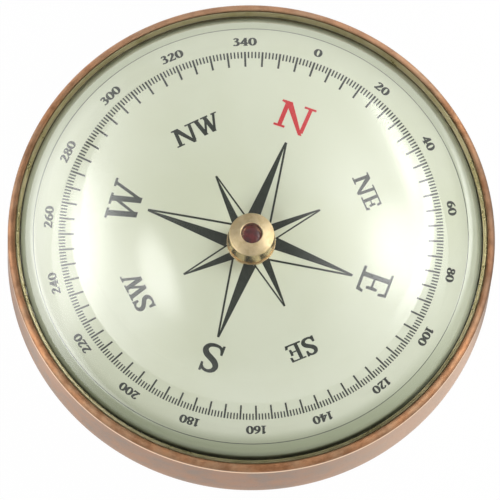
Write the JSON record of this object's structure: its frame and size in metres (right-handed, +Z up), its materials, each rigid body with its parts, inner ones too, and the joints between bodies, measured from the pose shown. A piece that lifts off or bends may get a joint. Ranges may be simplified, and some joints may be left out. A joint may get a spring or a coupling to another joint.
{
  "type": "desk compass",
  "caption": "Round brass desk compass: a printed card with a jewelled hub turns on a pivot pin under a thick magnifying glass dome.",
  "frame": {"origin": "centre of the felt pad's underside, on the surface that the compass stands on", "axes": "+Z up along the pivot pin; at rest the card's north point lies 13.7 degrees clockwise of +Y, seen from above, and the card leans down by 3 degrees towards 7 degrees anticlockwise of +Y"},
  "size_m": [0.1, 0.1, 0.0413],
  "materials": {
    "antique_brass": "antiqued",
    "bright_brass": "polished",
    "ring_brass": "satin",
    "spacer_brass": "satin",
    "clear_glass": "polished",
    "printed_card": "satin",
    "ruby": "polished",
    "magnet_steel": "ground",
    "pin_steel": "polished",
    "black_rubber": "matt",
    "green_felt": "felt"
  },
  "bodies": {
    "case": {"felt_pad": "green_felt", "case_body": "antique_brass", "spacer_ring": "spacer_brass", "glass_gasket": "black_rubber", "dome_glass": "clear_glass", "glass_retaining_ring": "ring_brass", "pivot_post": "bright_brass", "pivot_pin": "pin_steel", "post_screw": "bright_brass"},
    "card": {"compass_card": "printed_card", "hub_washer": "bright_brass", "hub_cap": "bright_brass", "jewel_cup": "ruby", "hub_nut": "bright_brass", "magnet_carrier": "bright_brass", "magnet_west": "magnet_steel", "magnet_east": "magnet_steel", "magnet_rivet_west": "bright_brass", "magnet_rivet_east": "bright_brass", "balance_weight": "bright_brass"}
  },
  "joints": [
    {"name": "card_turn", "type": "hinge", "parent": "case", "child": "card", "pos_m": [0, 0, 0.0112], "axis": [0, 0, 1], "continuous": true}
  ]
}
